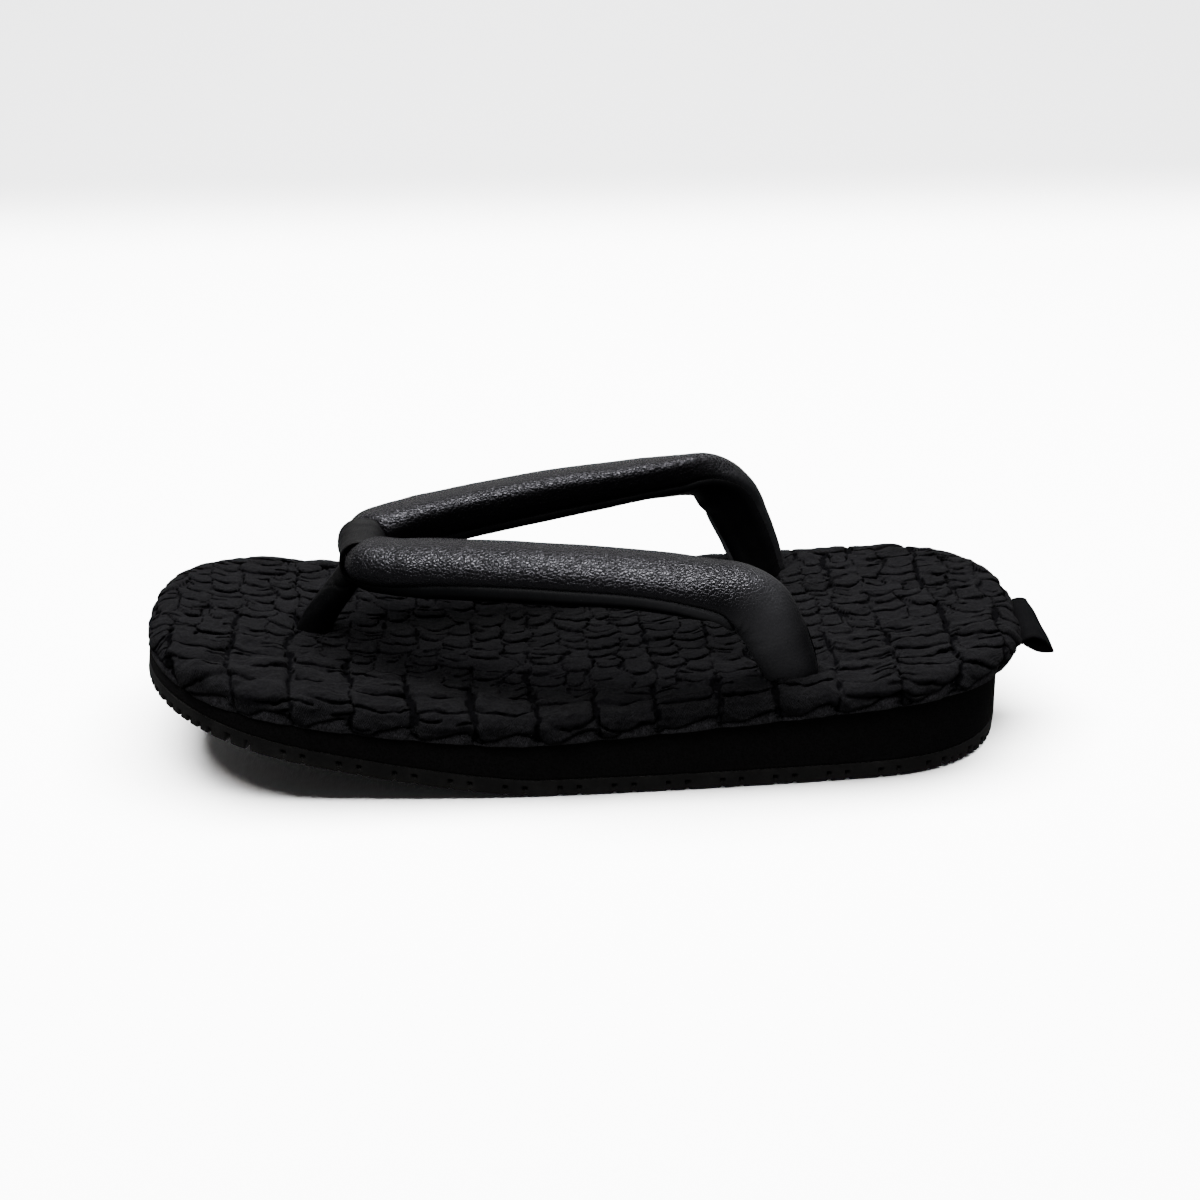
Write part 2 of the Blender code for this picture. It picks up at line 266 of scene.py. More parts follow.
def noise(tree, point, scale, detail, output="Fac", **more):
    inputs = {"Vector": point, "Scale": scale, "Detail": detail, **more}
    return addNode(tree, "TexNoise", inputs).outputs[output]


def feed(tree, node, **sockets):
    for name, value in sockets.items():
        put(tree, node.inputs[name.replace("_", " ")], value)


def makePebbleGroup():
    # rounded leather pebbles: a height and a mask of the creases between them
    tree, out, point, given = newGroup("leather_pebbles", ("Height", "Crease"), Per_Metre=1000.0)
    wobble = noise(tree, point, 900.0, 2.0, "Color")
    shifted = vectorMath(tree, "MULTIPLY_ADD", wobble, (0.0007, 0.0007, 0.0007), point)
    inputs = {"Vector": shifted, "Scale": given["Per Metre"]}
    edge = addNode(tree, "TexVoronoi", inputs, feature="DISTANCE_TO_EDGE").outputs["Distance"]
    height = mathNode(tree, "POWER", mapRange(tree, edge, 0.0, 0.32), 0.55)
    feed(tree, out, Height=height, Crease=mapRange(tree, edge, 0.0, 0.12, 1.0, 0.0))
    return tree


def makeWeaveGroup():
    # the height of crossing threads that wander a little
    tree, out, point, given = newGroup("thread_weave", ("Height",), Per_Metre=2000.0, Wander=0.0004)
    sway = scaleColour(tree, noise(tree, point, 500.0, 3.0, "Color"), given["Wander"])
    parts = splitPoint(tree, vectorMath(tree, "ADD", sway, point))
    waves = []
    for axis in "XY":
        turns = times(tree, parts[axis], given["Per Metre"])
        waves.append(mathNode(tree, "SINE", times(tree, turns, 2 * math.pi)))
    feed(tree, out, Height=timesPlus(tree, times(tree, *waves), 0.5, 0.5))
    return tree


def makeMottleGroup():
    # slow and quick changes of tone, as a value round 1
    tree, out, point, given = newGroup("tone_mottle", ("Value",), Amount=0.2)
    both = mathNode(tree, "ADD", noise(tree, point, 70.0, 4.0), noise(tree, point, 700.0, 3.0))
    centred = mathNode(tree, "SUBTRACT", both, 1.0)
    feed(tree, out, Value=timesPlus(tree, centred, given["Amount"], 1.0))
    return tree


pebbleGroup = makePebbleGroup()
weaveGroup = makeWeaveGroup()
mottleGroup = makeMottleGroup()


def useGroup(tree, group, **inputs):
    node = addNode(tree, "Group", node_tree=group)
    feed(tree, node, **inputs)
    return node.outputs


def finishLook(tree, shader, point, look, colour, height, *shades):
    # the colour, mottled and shaded, and the relief; the look gives the strength of both
    tone = useGroup(tree, mottleGroup, Vector=point, Amount=look["mottle"])["Value"]
    for shade in shades:
        tone = times(tree, tone, shade)
    feed(tree, shader, Base_Color=scaleColour(tree, colour, tone))
    inputs = {"Height": height, "Distance": look["relief"], "Strength": 1.0}
    feed(tree, shader, Normal=addNode(tree, "Bump", inputs).outputs["Normal"])


# The shirred cloth: rows of gathers across the sandal, with flat puckers lapped like scales between them
cloth = {
    "cells": (366, 296),
    "rollInset": 8.0,  # the flat top ends here, in from the outline
    # inset and share of the pad's height, down the rounded edge
    "edge": ((8, 1), (4.4, 0.96), (1.9, 0.83), (0.5, 0.62), (0, 0.38), (0.1, 0.16), (0.9, 0)),
    "edgeHeight": 9.2,
    "firstRow": -144.6, "rowPitch": 18.1, "rowWander": 1.8, "bands": 16,
    # where the wide puckers of the near edge end, band by band from the toe
    "nearZone": (-20, -16, -12, -19, -26, -31, -35, -38, -38, -37, -35, -28, -12, -6, -8, -20),
    "farZone": 47,
    # pitch, height, bow of the lip, rounding of the ends and of the crest, half the row's width, crumpling
    "inner": ((4.8, 10.4), (1.0, 1.55), (2.8, 5.0), 1.3, 0.8, 0.75, 0.3),
    "outer": ((7.5, 11.0), (1.5, 1.95), (1.2, 3.0), 2.4, 1.6, 1.0, 0.85),
    "heel": ((4.0, 8.6), (1.0, 1.6), (2.2, 4.2), 1.3, 0.8, 0.8, 0.6),
    "heelOuter": ((4.8, 8.2), (1.3, 1.8), (1.2, 3.4), 2.0, 1.1, 0.85, 0.75),
    "heelStart": 66, "endReach": (2.1, 1.3),
    "sinkBelow": 0.85,  # the row's floor under the pad's own surface
    # the share of the tone left in the strap's painted shadow
    "wornTone": 0.75,
    "stripHeight": 4.9, "stripVary": 0.5, "stripFlare": 1.5,
    # the row and gap colours are painted shade, in the row valleys and in the cracks under the lips
    "colour": (0.0075, 0.0072, 0.0088), "rowShadeColour": (0.0025, 0.0024, 0.0033),
    # the hem colour is painted light on the flat strip under the pillows
    "gapShadeColour": (0.0003, 0.0003, 0.0004), "hemLightColour": (0.034, 0.033, 0.037),
    "mottle": 0.8, "relief": 0.00048, "gloss": 0.07, "nap": 0.02,
    # where the strap and the thong go through, with the size of the dimple there
    "dimples": ((61.5, 35.8, 10.5, 6.5), (61.5, -35.8, 10.5, 6.5), (-85.5, 0, 7, 7)), "dimpleDepth": 1.5,
    "lean": 0.28,  # of a lip over the gap in front of it
}


def edgeProfile():
    # arc length, inset and share of the pad's height, on a smooth curve down the rounded edge
    inset, share = np.array(cloth["edge"], float).T
    fine = np.linspace(0, len(inset) - 1, 400)
    i = np.clip(fine.astype(int), 0, len(inset) - 2)
    t = fine - i
    smoothed = []
    for values in (inset, share):
        slope = np.gradient(values)
        slope[0] = slope[-1] = 0
        start = values[i] * (1 + 2 * t) * (1 - t) ** 2 + slope[i] * t * (1 - t) ** 2
        end = values[i + 1] * t * t * (3 - 2 * t) - slope[i + 1] * t * t * (1 - t)
        smoothed.append(start + end)
    inset, share = smoothed
    drop = cloth["edgeHeight"] * (1 - share)
    arc = np.concatenate(([0], np.cumsum(np.hypot(np.diff(inset), np.diff(drop)))))
    return arc, inset, share


def rowLine(index, across):
    wander = softNoise(across, 40 * index, 15, 3) + 0.5 * softNoise(across, 40 * index, 5, 4)
    # the half rows between the gathers wander more
    sway = cloth["rowWander"] * (1 + 1.3 * (np.asarray(index) % 1 > 0))
    return cloth["firstRow"] + cloth["rowPitch"] * index + sway * wander


def layOutPuckers():
    puckers = []
    for band in range(cloth["bands"]):
        near, far = cloth["nearZone"][band], cloth["farZone"]
        for left, right, low, high in (
            (band, band + 1, -67, near), (band, band + 0.5, near, far),
            (band + 0.5, band + 1, near, far), (band, band + 1, far, 67),
        ):
            kind = "outer" if right - left == 1 else "inner"
            if cloth["firstRow"] + cloth["rowPitch"] * left > cloth["heelStart"]:
                kind = {"inner": "heel", "outer": "heelOuter"}[kind]
            sizes = cloth[kind][0]
            at = low + random.uniform(-3, 0)
            while at < high - 2.5:
                size = random.uniform(*sizes)
                end = at + size if high - at - size > 4 else high
                puckers.append((left, right, at, end, kind))
                at = end
    return sorted(puckers, key=lambda pucker: pucker[2])


def puckerField(x, y, rimArc, edgeEnd):
    # the gathered cloth's height over its own floor, how far it is to a gap, the rows, and the flat strip
    height = np.zeros_like(x)
    gap = np.full_like(x, 3.0)
    row = np.ones_like(x)
    for left, right, low, high, kind in layOutPuckers():
        _, tops, bows, endRound, crestRound, rowHalfWidth, crumple = cloth[kind]
        drift = random.uniform(-1, 1, 6)
        top = random.uniform(*tops)
        scallop = random.uniform(*bows)
        reach = random.uniform(-0.4, cloth["endReach"][kind in ("outer", "heelOuter")], 2)
        begin = cloth["firstRow"] + cloth["rowPitch"] * left
        finish = cloth["firstRow"] + cloth["rowPitch"] * right
        near = np.nonzero((y > low - 5) & (y < high + 5) & (x > begin - 6) & (x < finish + 6))[0]
        if not len(near):
            continue
        px, py = x[near], y[near]
        start = rowLine(left, py) + rowHalfWidth - reach[0]
        stop = rowLine(right, py) - rowHalfWidth + reach[1]
        half = (stop - start) / 2
        a = (px - (start + stop) / 2) / half
        bow = scallop * (1 - np.abs(np.clip(a - 0.3 * drift[5] * (1 - a * a), -1, 1)) ** 2.2) ** 0.7
        jag = 0.7 * softNoise(px, low * 7, 4.6, 5) + 0.42 * softNoise(px, low * 5, 1.9, 15)
        lip = low + 0.35 * scallop - bow + 1.3 * drift[2] * a + jag
        depth = py - lip
        ends = (1 - np.abs(a)) * half + 0.7 * softNoise(px * 0.2, py + low, 2.4, 16)
        inside = np.clip(depth / 0.3 + 0.5, 0, 1) * np.clip(ends / 0.5 + 0.5, 0, 1) * (py < high + 4)
        # the lobes that go over the rim are fat pillows
        pillow = ramp(rimArc[near], 2.5, 6.5) * (py < 0)
        # flat on top, rounded at the lip and ends, lower where the next one laps over it
        tuck = 1 - 0.38 * ramp(depth, 0.45 * (high - low), 1.25 * (high - low))
        lobe = top * (1 + 0.3 * pillow) * (0.2 + 0.8 * roundOff(ends, endRound * (1 + 0.9 * pillow)))
        lobe *= (0.45 + 0.55 * roundOff(depth, crestRound)) * tuck
        wrinkle = 0.5 - np.abs(softNoise(px * 0.7, py, 2.6, 6)) ** 0.7
        lobe += crumple * (0.8 * wrinkle + softNoise(px, py, 4.6, 26) + 0.8 * drift[3] * a)
        lobe += 0.17 * softNoise(px * 0.6 + low, py, 1.35, 27) * (1 - np.abs(softNoise(px, py, 7, 28)))
        # some lips fade into their neighbour at one end
        faded = ramp(a * np.sign(drift[4]), 0.1, 0.7) * (abs(drift[4]) > 0.6)
        under = bump(depth, -0.4, 0.42) * np.clip(ends / 1.2 + 0.4, 0, 1) * (1 - inside) * (1 - faded)
        height[near] -= 0.5 * under
        away = np.abs(depth + 0.3) + 2 * faded
        gap[near] = np.where(ends > -0.3, np.minimum(gap[near], away), gap[near])
        height[near] = height[near] * (1 - inside) + lobe * inside
        # a line of painted shade round the lobe's free corners too
        side = np.abs(ends - 0.1) + 0.1 + 0.6 * np.clip(depth - 2.6, 0, None)
        side += 5 * (depth < -0.4) + 3 * faded
        row[near] = row[near] * (1 - inside) + (1 - ramp(ends, -0.1, 0.9)) * inside
        gap[near] = gap[near] * (1 - inside) + np.clip(depth + 0.3 + 2 * faded, 0, 3) * inside
        gap[near] = np.minimum(gap[near], side)
        # a short cut starts at one end and fades out inside the pucker
        for cut in range(random.integers(0, 3) if high - low > 7 else random.integers(0, 2)):
            side, length, place, slant = random.uniform((-1, 0.6, 0.3, -1), (1, 1.5, 0.75, 1))
            line = low + (high - low) * place - 0.5 * scallop * (1 - a ** 2) + 0.9 * slant * a + 0.6 * jag
            travel = (1 - ramp((1 + a * np.sign(side)) / length, 0.5, 1)) * inside
            dip = bump(py, line, 0.32) * travel
            height[near] += 0.18 * bump(py, line + 0.9, 0.8) * travel - 0.4 * dip
            closed = 1 - np.clip(travel * 2, 0, 1)
            gap[near] = np.minimum(gap[near], np.abs(py - line) + 0.1 + 2.5 * closed)
    # the far edge and the toe are pulled flatter
    calm = 0.55 * ramp(y, -5, 34) * ramp(rimArc, 0, 5)
    height = height * (1 - calm) + 0.85 * calm
    height += 0.22 * softNoise(x * 2.5, y, 1.6, 21) * row
    # the flat strip under the pillows flares out to its hem, and each piece of it rises towards a row
    band = np.floor((x - cloth["firstRow"]) / cloth["rowPitch"])
    band -= x < rowLine(band, y)
    band += x > rowLine(band + 1, y)
    share = (x - rowLine(band, y)) / (rowLine(band + 1, y) - rowLine(band, y))
    rise = (0.3 + 0.7 * ramp(share, 0.15, 0.8)) * (1 - 0.8 * ramp(share, 0.9, 1))
    rise *= 0.2 + 0.8 * ramp(share, 0, 0.08)
    line = edgeEnd - cloth["stripHeight"] * rise + cloth["stripVary"] * softNoise(x, y, 6, 8)
    strip = ramp(rimArc, line - 0.25, line + 0.25)
    flare = np.clip((rimArc - edgeEnd + cloth["stripHeight"]) / (cloth["stripHeight"] - 1), 0, 1)
    flare *= (1 - ramp(share, 0.8, 0.97)) * (0.3 + 0.7 * ramp(share, 0.02, 0.2))
    flat = 0.1 + cloth["stripFlare"] * flare + 0.15 * softNoise(x, y, 6, 9)
    height = height * (1 - strip) + flat * strip - 1.0 * bump(rimArc, line, 0.5)
    gap = np.minimum(gap * (1 - strip) + 3 * strip, 0.6 * np.abs(rimArc - line))
    row = row * (1 - strip)
    return height, gap, row, strip


def wrapRim(x, y, edgeEnd):
    # for points past the roll line: how far past, the nearest point on it, the way out, and if past the hem
    lineX, lineY, normalX, normalY = outline(cloth["rollInset"])
    insideWidth = np.interp(x, lineX, lineY, left=0, right=0)
    outside = np.nonzero((np.abs(y) > insideWidth) | (np.abs(x) > lineX[-1]))[0]
    rimArc = np.zeros_like(x)
    foot = np.stack((x, y), 1)
    out = np.zeros_like(foot)
    for part in np.array_split(outside, 60):
        gapX = x[part, None] - lineX[None]
        gapY = np.abs(y[part, None]) - lineY[None]
        best = np.argmin(gapX ** 2 + gapY ** 2, axis=1)
        sign = np.where(y[part] < 0, -1, 1)
        pick = np.arange(len(part))
        slide = gapX[pick, best] * normalY[best] - gapY[pick, best] * normalX[best]
        px = lineX[best] + slide * normalY[best]
        py = lineY[best] - slide * normalX[best]
        away = np.hypot(x[part] - px, np.abs(y[part]) - py)
        clear = away > 0.6
        nx = np.where(clear, (x[part] - px) / np.maximum(away, 1e-6), normalX[best])
        ny = np.where(clear, (np.abs(y[part]) - py) / np.maximum(away, 1e-6), normalY[best])
        rimArc[part] = away
        foot[part] = np.stack((px, sign * py), 1)
        out[part] = np.stack((nx, sign * ny), 1)
    return rimArc, foot, out, rimArc > edgeEnd


def dimples(x, y):
    # the cloth is pulled down where the strap and the thong go through it
    depth = np.zeros_like(x)
    for px, py, sizeX, sizeY in cloth["dimples"]:
        away = np.hypot((x - px) / sizeX, (y - py) / sizeY)
        depth += cloth["dimpleDepth"] * np.exp(-np.clip(away - 0.75, 0, None) ** 2 / 0.16)
    return depth


def makeCover(material):
    arc, inset, share = edgeProfile()
    edgeEnd = arc[-1]
    reachX = halfLength - cloth["rollInset"] + edgeEnd + 1
    reachY = footbedHigh.y / mm - cloth["rollInset"] + edgeEnd + 1
    bm, u, v = gridPiece(*cloth["cells"])
    x, y = (2 * u - 1) * reachX, (2 * v - 1) * reachY
    rimArc, foot, out, beyond = wrapRim(x, y, edgeEnd)
    rimArc = np.minimum(rimArc, edgeEnd)
    height, gap, row, strip = puckerField(x, y, rimArc, edgeEnd)

    outward = cloth["rollInset"] - np.interp(rimArc, arc, inset)
    level = np.interp(rimArc, arc, share)
    before, after = rimArc - 0.05, rimArc + 0.05
    slopeOut = np.interp(before, arc, inset) - np.interp(after, arc, inset)
    slopeDown = cloth["edgeHeight"] * (np.interp(before, arc, share) - np.interp(after, arc, share))
    size = np.maximum(np.hypot(slopeOut, slopeDown), 1e-6)
    slopeOut, slopeDown = slopeOut / size, slopeDown / size
    slopeOut[rimArc <= 0], slopeDown[rimArc <= 0] = 1, 0
    placeX = foot[:, 0] + out[:, 0] * outward
    placeY = foot[:, 1] + out[:, 1] * outward
    placeZ = rimHeight(placeX) + level * along(placeX, *sole["pad"])
    tilt = padTop(placeX + 0.5) - padTop(placeX - 0.5)

    lift = height - cloth["sinkBelow"] - 0.9 * ramp(np.abs(x), 124, 133) * ramp(rimArc, 2, 6)
    lift *= 1 - 0.8 * ramp(rimArc, edgeEnd - 1.0, edgeEnd)
    lift -= dimples(x, y)
    free = 1 - ramp(rimArc, edgeEnd - 5, edgeEnd - 3)
    lean = cloth["lean"] * np.clip(height, -0.5, 1.6) * free
    placeX += lift * (out[:, 0] * slopeDown - tilt * slopeOut)
    placeY += lift * out[:, 1] * slopeDown - lean * (1 - slopeDown)
    placeZ += lift * slopeOut + lean * slopeDown * np.sign(placeY)
    placeVerts(bm, np.stack((placeX, placeY, placeZ), 1))
    # painted shadow of the strap: the cloth under it is darker
    worn = ramp(-y, -12, 8) * (1 - 0.7 * ramp(-y, 22, 36)) * ramp(x, -110, -75)
    worn *= (1 - ramp(x, 40, 75)) * (1 - strip)
    paintVerts(bm, gap=gap, row=row, hem=strip, worn=worn)

    spare = [face for face in bm.faces if all(beyond[vertex.index] for vertex in face.verts)]
    bmesh.ops.delete(bm, geom=spare, context="FACES")
    border = [edge for edge in bm.edges if edge.is_boundary]
    turned = bmesh.ops.extrude_edge_only(bm, edges=border)["geom"]
    for vertex in (item for item in turned if isinstance(item, bmesh.types.BMVert)):
        sx, sy = vertex.co.x / mm - soleMiddle, vertex.co.y / mm
        sx, sy = sx * 0.94, sy * 0.88
        vertex.co = Vector(((sx + soleMiddle) * mm, sy * mm, float(rimHeight(sx)) * mm))
    ring = [edge for edge in bm.edges if edge.is_boundary]
    bmesh.ops.triangle_fill(bm, use_beauty=True, edges=ring, normal=(0, 0, -1))
    cover = newPiece("cloth_cover", bm, material, "footbed")


def clothMaterial():
    material, tree, shader, point = newMaterial("shirred_cloth", Roughness=0.9, Sheen_Roughness=0.5)
    ragged = timesPlus(tree, noise(tree, point, 620.0, 3.0), 0.7, -0.35)
    gap = mathNode(tree, "ADD", attribute(tree, "gap"), ragged)
    dark = mapRange(tree, gap, 0.24, 0.6, 1.0, 0.0)
    faint = mapRange(tree, noise(tree, point, 170.0, 2.0), 0.34, 0.56, 0.4, 1.0)
    dark = times(tree, dark, faint)
    rowEdge = timesPlus(tree, noise(tree, point, 380.0, 3.0), 0.8, -0.4)
    row = mapRange(tree, mathNode(tree, "ADD", attribute(tree, "row"), rowEdge), 0.25, 0.75)
    grain = mapRange(tree, noise(tree, point, 1300.0, 2.0), 0.3, 0.7, 0.55, 1.5)
    # the strap's painted shadow darkens the cloth and takes off some gloss and nap
    worn = fade(tree, attribute(tree, "worn"), cloth["wornTone"])
    # painted shade: darker in the rows and darkest in the cracks
    colour = mixColour(tree, row, cloth["colour"], cloth["rowShadeColour"])
    colour = mixColour(tree, dark, colour, cloth["gapShadeColour"])
    # painted light: the flat strip under the pillows is lighter
    colour = mixColour(tree, attribute(tree, "hem"), colour, cloth["hemLightColour"])
    # painted shade: no gloss and no nap down in the gaps and rows, and less of both in the strap's painted
    # shadow
    hidden = mathNode(tree, "MAXIMUM", dark, times(tree, row, 0.7))
    shown = times(tree, mathNode(tree, "SUBTRACT", 1.0, hidden), worn)
    feed(
        tree, shader,
        Specular_IOR_Level=times(tree, shown, cloth["gloss"]),
        Sheen_Weight=times(tree, shown, cloth["nap"]),
    )
    weave = useGroup(tree, weaveGroup, Vector=point, Per_Metre=1500.0, Wander=0.0012)["Height"]
    crumple = noise(tree, point, 460.0, 6.0, Roughness=0.68)
    height = timesPlus(tree, crumple, 4.2, weave)
    height = timesPlus(tree, dark, -1.8, height)
    finishLook(tree, shader, point, cloth, colour, height, grain, worn)
    return material


# The padded strap: one long cushion from root to root, its front inside the thong's collar
strapHalf = (
    # x, y, z, width, thickness, lean of the face in degrees, from the middle of the front to the root
    (-68.2, 0, 58.4, 11.4, 11.4, 0), (-67.7, 6.8, 58.4, 11, 11, 1), (-65.7, 9.6, 58.8, 19, 16.6, 4),
    (-57, 15.2, 59.8, 20.8, 17.2, 8), (-43.5, 20.2, 61.2, 21.4, 16.8, 11), (-14, 29.5, 62.9, 21.6, 16.4, 14),
    (14, 37.4, 63.9, 21.2, 14.4, 16), (31, 42, 63, 20.8, 14.2, 24), (41.2, 43.2, 60.9, 20.4, 14, 40),
    (48.6, 42.8, 55.8, 19.8, 13.4, 58), (53.3, 41.4, 48, 18.8, 12.6, 72), (57, 39.2, 39.6, 17.6, 11.4, 82),
    (59.6, 37.2, 31.8, 16.4, 10.2, 86), (61, 36.2, 27.4, 16, 9.6, 88),
)
thongStem = (
    (-86.0, 0.0, 30.0, 9.6, 10.0, 0), (-82.3, 0.0, 37.4, 9.9, 9.7, 0),
    (-77.6, 0.0, 44.2, 10.6, 8.8, 0), (-71.2, 0.0, 53.4, 11.0, 8.4, 0),
)
strapLook = {
    "cells": (312, 64),
    "bendRow": 8.6,  # the table's row at the bend
    # where the lining's edges lie, in degrees under the strap's side: at the front, along it, down the leg
    "liningEdge": (14, -13, 36), "liningRows": (2.4, 5.0), "innerEdge": (19, 34),
    "grooveDepth": 0.8, "grooveWidth": 7, "underCut": 2.6,
    # place from the bend's row, width and depth of the folds that fan out of the bend's inner corner
    "folds": ((-0.25, 0.1, 0.5), (0.12, 0.12, 0.65), (0.5, 0.1, 0.35)),
    "swell": 0.28, "dents": 0.12,
    # the crease colour is painted shade in the pebbles' creases
    "colour": (0.006, 0.0059, 0.0068), "creaseShadeColour": (0.003, 0.003, 0.0034),
    # painted light: the leg's colour is far lighter than the strap's
    "legLightColour": (0.051, 0.0513, 0.0555),
    "mottle": 0.3, "relief": 0.00012, "pebblesPerMetre": 930.0,
    # roughness, and what the creases and the leg add to it; gloss in the shade and in the light
    "roughness": (0.17, 0.24, 0.2), "gloss": (0.04, 0.27),
    # how much of the tone the painted shade leaves near the sole and on the inner side, and of the pebbles
    # down the leg
    "shadedTone": 0.12, "innerTone": 0.3, "legPebbles": 0.7,
    "ovalPower": 2.06,  # a little squarer than an ellipse
    # the far strap stands a little higher at its bend, and its swelling starts further from the collar
    "farLift": 1.9, "farWaist": (0.8, 1.6), "farFold": 1.1,
}


def smoothRows(table, positions, mirrored):
    # values at fractional row numbers, on a Catmull-Rom curve through the rows
    rows = np.array(table, float)
    if mirrored:
        other = rows[:0:-1] * (1, -1, 1, 1, 1, -1)
        rows = np.vstack((other, rows))
        positions = positions + len(other)
        far = len(other)
        rows[far:, 2] += strapLook["farLift"] * bump(np.arange(len(rows) - far), 8.4, 1.5)
        rows[far + 1:far + 3, 1] += strapLook["farWaist"]
    rows = np.vstack((2 * rows[0] - rows[1], rows, 2 * rows[-1] - rows[-2]))
    i = np.clip(positions.astype(int), 0, len(rows) - 4)
    t = (positions - i)[:, None]
    a, b, c, d = rows[i], rows[i + 1], rows[i + 2], rows[i + 3]
    bend = 2 * a - 5 * b + 4 * c - d + t * (3 * (b - c) + d - a)
    return b + t / 2 * (c - a + t * bend)


def bandFrame(table, positions, mirrored=False):
    # the centre, inward direction, face direction and half sizes of each section
    rows = smoothRows(table, positions, mirrored)
    tangent = np.gradient(rows[:, :3], axis=0)
    tangent /= np.linalg.norm(tangent, axis=1)[:, None]
    tilt = np.radians(rows[:, 5])
    lean = np.stack((0 * tilt, np.sin(tilt), np.cos(tilt)), 1)
    face = lean - tangent * np.sum(lean * tangent, axis=1)[:, None]
    face /= np.linalg.norm(face, axis=1)[:, None]
    return rows[:, :3], np.cross(tangent, face), face, rows[:, 3] / 2, rows[:, 4] / 2


def oval(angle, power):
    # a superellipse of half size 1, from its side round over its face
    side, up = np.cos(angle), np.sin(angle)
    return np.sign(side) * np.abs(side) ** (2 / power), np.sign(up) * np.abs(up) ** (2 / power)


def placeTube(bm, frameOf, index, angle, grow, power=strapLook["ovalPower"]):
    centre, across, face, halfWidth, halfThick = (values[index] for values in frameOf)
    side, up = oval(angle, power)
    side, up = side * (halfWidth + grow), up * (halfThick + grow)
    points = centre + across * side[:, None] + face * up[:, None]
    ends = (index == 0) | (index == len(frameOf[0]) - 1)
    points[ends] = centre[ends]
    placeVerts(bm, points)


def strapGrid(sides):
    # a skin from root to root: the share round it, its sections, and each point's section and row
    cells, last = strapLook["cells"][0], len(strapHalf) - 1
    bm, u, v = gridPiece(cells, sides)
    positions = np.linspace(-last, last, cells + 1)
    index = np.rint(u * cells).astype(int)
    return bm, v, bandFrame(strapHalf, positions, mirrored=True), index, positions[index]


def legShare(row):
    # 0 along the strap, 1 down the leg
    return ramp(np.abs(row), strapLook["bendRow"] - 1.1, strapLook["bendRow"] + 0.9)


def squareness(row, degrees):
    # the far strap folds sharply from its top to its inner side
    inner = np.cos(np.radians(degrees)) > 0
    return strapLook["ovalPower"] + strapLook["farFold"] * inner * ramp(row, 1.6, 3.4) * (1 - legShare(row))


def seamLines(row):
    # the two seams where the lining is let in, in degrees round the strap
    leg = legShare(row)
    front, side, down = strapLook["liningEdge"]
    outer = front + (side - front) * ramp(np.abs(row), *strapLook["liningRows"])
    outer = 180 + outer * (1 - leg) + down * leg
    side, down = strapLook["innerEdge"]
    return outer, 360 - side * (1 - leg) - down * leg, leg


def makeStrap(leather):
    bm, v, frameOf, index, row = strapGrid(strapLook["cells"][1])
    angle = 2 * math.pi * v
    degrees = np.degrees(angle)
    outer, inner, leg = seamLines(row)
    seams = [bump(degrees, line, strapLook["grooveWidth"]) for line in (outer, inner)]
    grow = -strapLook["grooveDepth"] * np.maximum(*seams)
    for offset, width, depth in strapLook["folds"]:
        line = strapLook["bendRow"] + offset + 0.006 * (degrees - 180)
        grow -= depth * bump(np.abs(row), line, width) * bump(degrees, 185, 48)
    # the soft filling: slow swells, small dents
    grow += strapLook["swell"] * softNoise(row * 12, degrees / 14, 14, 31)
    grow += strapLook["dents"] * softNoise(row * 12, degrees / 14, 4.5, 32)
    grow -= strapLook["underCut"] * ramp(degrees, outer, outer + 16) * ramp(degrees, inner, inner - 16)
    placeTube(bm, frameOf, index, angle, grow, squareness(row, degrees))
    # painted shade: darker and duller on the inner side, and at the leg's back and near the sole
    fromInside = np.minimum(degrees, 360 - degrees)
    inner = 1 - ramp(fromInside + 3 * softNoise(row * 12, degrees / 9, 5, 43), 10, 36)
    back = 1 - ramp(fromInside, 25, 92)
    last = len(strapHalf) - 1
    foot = ramp(np.abs(row), last - 2.3, last - 0.5)
    paintVerts(bm, leg=leg, inner=inner * (1 - leg), shaded=leg * np.maximum(0.8 * back, foot))
    mergeVerts(bm)
    strap = newPiece("padded_strap", bm, leather, "strap")


liningLook = {
    "sides": 40, "sink": 1.75, "halfWall": 0.9,
    "rolls": (1.7, 1.15),  # how proud the outer and the inner rolled edge stand
    "crumple": (0.15, 0.08),
    "sag": (1.3, 2.0),  # of the near half, along it and at its lowest point
    "threadColours": ((0.0018, 0.0018, 0.0022), (0.0032, 0.0032, 0.0038)),
    "rollLightColour": (0.035, 0.035, 0.038),
    "mottle": 0.4, "relief": 0.00008, "threadsPerMetre": 1800.0,
}


